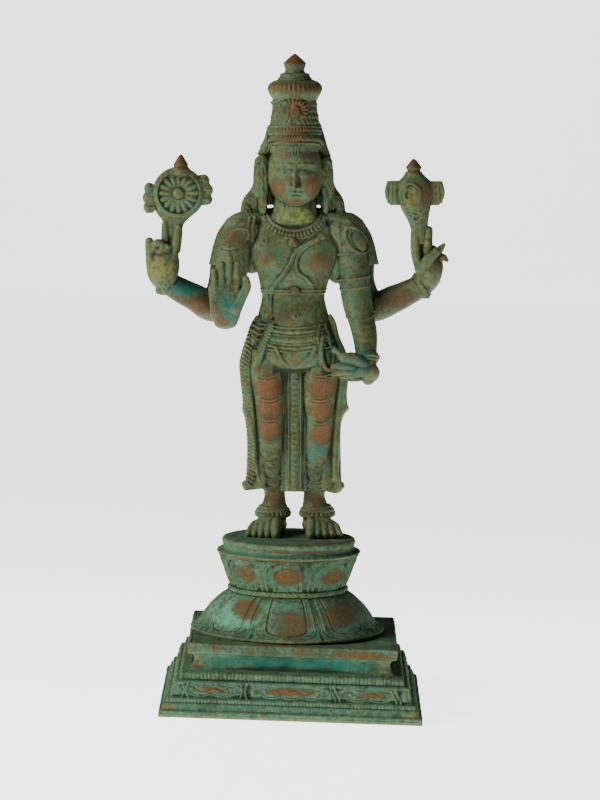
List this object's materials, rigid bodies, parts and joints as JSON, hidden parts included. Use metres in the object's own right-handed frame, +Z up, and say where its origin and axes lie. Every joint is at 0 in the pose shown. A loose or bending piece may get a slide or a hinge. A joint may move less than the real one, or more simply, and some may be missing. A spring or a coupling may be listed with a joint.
{
  "type": "vishnu figure",
  "caption": "Standing four-armed Vishnu in patinated bronze, with discus and conch, on a lotus and a stepped square plinth.",
  "frame": {"origin": "middle of the plinth's underside", "axes": "+Z up, the figure faces -Y, +X on a viewer's right"},
  "size_m": [0.1841, 0.1552, 0.3884],
  "materials": {
    "green_bronze": "satin green patina, copper brown where it is worn",
    "turquoise_bronze": "satin turquoise patina, brown where it is worn"
  },
  "bodies": {
    "root": {"vishnu_figure": "green_bronze", "lotus_plinth": "turquoise_bronze"}
  },
  "joints": []
}
